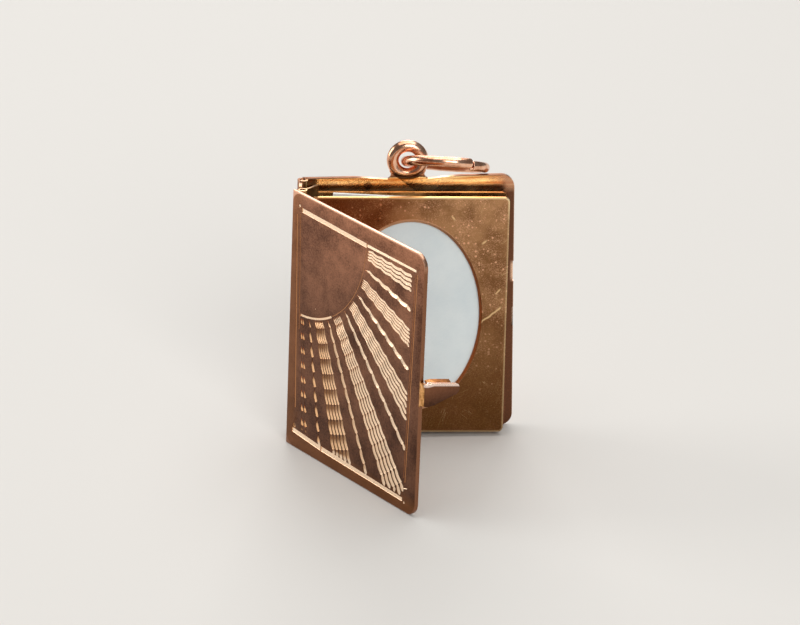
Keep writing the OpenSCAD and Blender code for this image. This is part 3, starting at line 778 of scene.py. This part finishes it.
# Inside: clouds of orange gold, with streaks of painted reflection near the top, a stain beside the ear's
# foot, and painted shade toward the free edge
def innerBackColour(tree, place, look, x, z, clouds, streaksAndReflections, speckle):
    # painted reflection: streaks of light and dark near the top of the inside
    reflectionStreaked = layered(tree, look["reflectionStreakDark"], ([streaksAndReflections, 0.4, 0.56], look["reflectionStreak"]))
    # painted shade: the inside darkens toward the free edge, below the top band, in the gap beside the leaf
    dull = meeting(tree, [x, *look["gapShadeRight"]], [z, *look["gapShadeBelow"]])
    away, _ = awayFrom(tree, place, *look["stainAt"])
    blot = addNode(tree, "Math", [speckle, 0.35, away], operation="MULTIPLY_ADD")
    return layered(tree, look["innerDark"], ([clouds, 0.36, 0.66], look["inner"]),
                   ([z, *look["reflectionStreaksUp"]], reflectionStreaked), ([x, *look["pinkRight"]], look["pink"]),
                   (dull, look["dull"]), ([blot, *look["stainReach"]], look["stain"]))


# Outside: speckled brown, scratched, worn bright toward its free edges
def outerBackColour(tree, place, look, clouds, speckle):
    tone = addNode(tree, "Math", [speckle, 0.5, clouds], operation="MULTIPLY_ADD")
    hair = hairScratches(tree, place, look["hairAngles"])
    toEdge = outsideCore(tree, place, look["wornLow"], look["wornHigh"], look["wornRadius"])
    return layered(tree, look["outerDark"], ([tone, 0.4, 1.1], look["outer"]), (hair, look["rim"]),
                   ([toEdge, *look["wornFrom"]], look["rim"]))


def wornBackGold(look):
    material, tree = newMaterial("wornBackGold")
    place = pieceSpace(tree, standing)
    x, y, z = addNode(tree, "SeparateXYZ", [place], give=None)
    streaksAndReflections = cloud(tree, place, 1.2, 3, 0.55, (0.16, 1, 3.2))
    clouds = cloud(tree, place, 3.0, 4, 0.6)
    speckle = cloud(tree, place, 0.15, 2, 0.7)
    inner = innerBackColour(tree, place, look, x, z, clouds, streaksAndReflections, speckle)
    outer = outerBackColour(tree, place, look, clouds, speckle)
    ear = layered(tree, look["earDark"], ([clouds, 0.4, 0.6], look["ear"]))
    fromHinge = addNode(tree, "Math", [x, look["hingeAt"]], operation="ADD")
    fromHinge = addNode(tree, "Math", [z, look["hingeSlope"], fromHinge], operation="MULTIPLY_ADD")
    beyond = addNode(tree, "MapRange", [fromHinge, *look["beyondHinge"]])
    outside = addNode(tree, "MapRange", [y, *look["outsideFrom"]])
    outside = addNode(tree, "Math", [outside, beyond], operation="MAXIMUM")
    topEdge = addNode(tree, "MapRange", [z, *look["edgeFrom"]])
    onEar = addNode(tree, "MapRange", [z, *look["earFrom"]])
    flat = meeting(tree, [z, *look["flatFoot"]], [z, *look["flatTop"]])
    flat = meeting(tree, [x, *look["flatRight"]], flat)
    freeEdge = addNode(tree, "MapRange", [x, *look["freeEdge"]])
    bright = addNode(tree, "Math", [freeEdge, flat], operation="MAXIMUM")
    colour = layered(tree, inner, (outside, outer), (topEdge, look["topEdge"]), (bright, look["rim"]),
                     (onEar, ear))
    roughness = addNode(tree, "Math", [streaksAndReflections, 0.4, clouds], operation="MULTIPLY_ADD")
    roughness = addNode(tree, "MapRange", [roughness, 0.5, 0.9, 0.2, 0.32])
    onTop = meeting(tree, topEdge, [z, *look["edgeTo"]])
    scratches = cloud(tree, place, 0.9, 3, 0.6, (0.3, 1, 7.0), math.radians(33))
    scratches = addNode(tree, "MapRange", [scratches, 0.45, 0.6])
    for where, rougher in ((outside, 0.04), (onEar, -0.06), (onTop, 0.25), (scratches, 0.04)):
        roughness = addNode(tree, "Math", [where, rougher, roughness], operation="MULTIPLY_ADD")
    normal = addNode(tree, "Bump", {"Height": speckle, "Distance": 0.004 * millimetre, "Strength": 0.3})
    normal = addNode(tree, "Bump", {
        "Height": streaksAndReflections, "Distance": 0.012 * millimetre, "Strength": 0.25, "Normal": normal})
    closeMaterial(tree, {"Base Color": colour, "Metallic": 1.0, "Roughness": roughness, "Normal": normal})
    return material


def makeBackCover(settings, material):
    bm = cadCopy("back_cover")
    bmesh.ops.transform(bm, matrix=standing.inverted(), verts=bm.verts)
    low, high, left = settings["flushBelow"], settings["fullAbove"], settings["leftAtFoot"]
    for v in bm.verts:
        if abs(v.co.x - settings["earMiddle"]) < settings["earReach"] and v.co.z > low - 0.2:
            face = min(max(v.co.y, settings["front"]), settings["rear"])
            kept = left + (1 - left) * easeUp((v.co.z - low) / (high - low))
            v.co.y = face + (v.co.y - face) * kept
    softenEdges(bm, settings["soft"], 2, 40)
    placed(bm, "backCoverSheet", material, "back", ["back_cover"], standing, 32)


makeBackCover(backShape, wornBackGold(backLook))


# Rolled gold, polished once, now with brown tarnish in clouds and fine rubbing marks

spineLook = {
    "light": "#c08f6a", "dark": "#8c5f3e", "stain": "#5a3420", "roughness": (0.18, 0.4), "cloudSize": 3.5,
}
stripLook = {
    "light": "#c9a068", "dark": "#7f5630", "stain": "#4c2c16", "roughness": (0.2, 0.4), "cloudSize": 2.0,
}


def tarnishedGold(name, look, space):
    material, tree = newMaterial(name)
    place = pieceSpace(tree, space)
    clouds = cloud(tree, place, look["cloudSize"], 5, 0.62)
    speckle = cloud(tree, place, 0.16, 2, 0.7)
    rubbing = cloud(tree, place, 1.0, 3, 0.6, (0.35, 1, 6.0), math.radians(38))
    stain = addNode(tree, "Math", [speckle, 0.6, clouds], operation="MULTIPLY_ADD")
    colour = layered(tree, look["dark"], ([clouds, 0.36, 0.66], look["light"]),
                     ([stain, 0.92, 1.05, 0, 0.35], look["stain"]))
    roughness = addNode(tree, "Math", [rubbing, 0.4, clouds], operation="MULTIPLY_ADD")
    roughness = addNode(tree, "MapRange", [roughness, 0.5, 0.9, *look["roughness"]])
    normal = addNode(tree, "Bump", {"Height": speckle, "Distance": 0.004 * millimetre, "Strength": 0.35})
    normal = addNode(tree, "Bump", {
        "Height": rubbing, "Distance": 0.012 * millimetre, "Strength": 0.4, "Normal": normal})
    closeMaterial(tree, {"Base Color": colour, "Metallic": 1.0, "Roughness": roughness, "Normal": normal})
    return material


# Drawn and polished gold wire, kept bright by rubbing on the ring and duller on the hinge pins

wireLook = {"bright": "#ffcaa8", "dull": "#d68e68"}
pinLook = {"bright": "#d8a274", "dull": "#9c6a44"}


def brightGold(name, look):
    material, tree = newMaterial(name)
    place = pieceSpace(tree, standing)
    wear = cloud(tree, place, 0.7, 4, 0.6)
    fine = cloud(tree, place, 0.12, 2, 0.6)
    colour = layered(tree, look["dull"], ([wear, 0.35, 0.6], look["bright"]))
    roughness = addNode(tree, "MapRange", [wear, 0.3, 0.7, 0.28, 0.14])
    normal = addNode(tree, "Bump", {"Height": fine, "Distance": 0.004 * millimetre, "Strength": 0.3})
    closeMaterial(tree, {"Base Color": colour, "Metallic": 1.0, "Roughness": roughness, "Normal": normal})
    return material


# Pieces whose solids have the right shape: their edges are rounded off, each by its own width
def makeSoftenedPieces():
    spineGold = tarnishedGold("tarnishedRoseGold", spineLook, standing)
    stripGold = tarnishedGold("tarnishedYellowGold", stripLook, leafSpace)
    pinGold = brightGold("pinGold", pinLook)
    for node, name, material, body, slot, width in (
            ("leaf_back", "leafRearPlate", stripGold, "leaf", "yellow_gold", 0.03),
            ("spine", "spineStrip", spineGold, "spine", "rose_gold", 0.025),
            ("back_pin", "backHingePin", pinGold, "back", "pin_gold", 0.05),
            ("front_pin", "frontHingePin", pinGold, "spine", "pin_gold", 0.05)):
        bm = cadCopy(node)
        softenEdges(bm, width, 2, 40)
        placed(bm, name, material, body, [node], smoothBelow=32)


makeSoftenedPieces()


# Smooth paper card: faintly mottled, with a soft sheen

cardLooks = {
    "picture_card": {"name": "blueGreyCard", "light": "#eaf6f8", "shade": "#dfedf1", "roughness": 0.55},
    "backing_card": {"name": "whiteCard", "light": "#f8f8f4", "shade": "#e8e8e4", "roughness": 0.7},
}


def paperCard(look):
    material, tree = newMaterial(look["name"])
    place = pieceSpace(tree, leafSpace)
    mottle = cloud(tree, place, 2.6, 4, 0.55)
    fibre = cloud(tree, place, 0.13, 3, 0.65, (0.4, 1, 1), 0.4)
    tone = addNode(tree, "Math", [fibre, 0.3, mottle], operation="MULTIPLY_ADD")
    colour = layered(tree, look["shade"], ([tone, 0.42, 0.82], look["light"]))
    normal = addNode(tree, "Bump", {"Height": fibre, "Distance": 0.006 * millimetre, "Strength": 0.5})
    closeMaterial(tree, {"Base Color": colour, "Metallic": 0.0, "Roughness": look["roughness"],
                         "IOR": 1.5, "Normal": normal})
    return material


for node, look in cardLooks.items():
    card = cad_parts[node].data
    card.materials.clear()
    card.materials.append(paperCard(look))
print("cards covered")


# Jump ring: round wire, wound once, its two ends cut square and a little out of line

ringShape = {
    "seat": (7.54, 0.24, 21.11), "fall": 5.5, "tilt": 22, "radius": 2.9, "wire": 0.37,
    "jointAt": -56, "jointGap": 2.0, "outOfLine": 0.16, "soft": 0.05, "steps": 120,
}


def makeRing(settings, material):
    bm = bmesh.new()
    wire = bmesh.ops.create_circle(bm, cap_ends=True, segments=24, radius=settings["wire"])["verts"]
    rotated(bm, wire, "X", 90)
    bmesh.ops.translate(bm, vec=(settings["radius"], 0, 0), verts=wire)
    rotated(bm, wire, "Z", settings["jointAt"] + settings["jointGap"] / 2)
    bmesh.ops.translate(bm, vec=(0, 0, -settings["outOfLine"] / 2), verts=wire)
    bmesh.ops.spin(bm, geom=list(bm.faces), cent=(0, 0, 0), axis=(0, 0, 1),
                   dvec=(0, 0, settings["outOfLine"] / settings["steps"]),
                   angle=math.radians(360 - settings["jointGap"]), steps=settings["steps"],
                   use_merge=False, use_duplicate=False)
    softenEdges(bm, settings["soft"], 3, 60)
    ringSpace = (standing @ shifted(*settings["seat"]) @ turned("Y", settings["fall"])
                 @ shifted(settings["radius"], 0, 0) @ turned("X", -settings["tilt"]))
    placed(bm, "jumpRing", material, "ring", ["jump_ring"], ringSpace)


makeRing(ringShape, brightGold("brightWireGold", wireLook))


# Floor and lights, in metres and watts

studio = {
    "floor": "#d2cec8", "floorSize": 3.0, "sky": "#dfe3e8", "skyStrength": 0.2, "lightsLookAt": (0, 0, 0.01),
    "softboxes": {
        "overheadSoftbox": {"place": (0.0, 0.08, 0.42), "size": 0.5, "watts": 1.7},
        "backSoftbox": {"place": (0.02, 0.66, 0.31), "size": 0.34, "watts": 1.7},
        "leftSoftbox": {"place": (-0.44, 0.12, 0.15), "size": 0.28, "watts": 0.85},
        "frontFill": {"place": (0.12, -0.48, 0.3), "size": 0.3, "watts": 1.5},
    },
}


def makeStudio(settings):
    bm = bmesh.new()
    bmesh.ops.create_grid(bm, x_segments=8, y_segments=8, size=settings["floorSize"] / 2)
    mesh = toMesh(bm, "floor")
    floor = bpy.data.objects.new("floor", mesh)
    bpy.context.scene.collection.objects.link(floor)
    material, tree = newMaterial("paleFloor")
    closeMaterial(tree, {"Base Color": sRgb(settings["floor"]), "Roughness": 0.8})
    mesh.materials.append(material)
    for name, softbox in settings["softboxes"].items():
        data = bpy.data.lights.new(name, "AREA")
        data.shape, data.size, data.energy = "SQUARE", softbox["size"], softbox["watts"]
        light = bpy.data.objects.new(name, data)
        light.location = softbox["place"]
        toward = Vector(settings["lightsLookAt"]) - light.location
        light.rotation_euler = toward.to_track_quat("-Z", "Y").to_euler()
        bpy.context.scene.collection.objects.link(light)
    world = bpy.data.worlds.new("studio")
    bpy.context.scene.world = world
    world.use_nodes = True
    background = world.node_tree.nodes["Background"]
    background.inputs["Color"].default_value = sRgb(settings["sky"])
    background.inputs["Strength"].default_value = settings["skyStrength"]
    bpy.context.scene.view_settings.view_transform = "Standard"


makeStudio(studio)
print("studio ready")
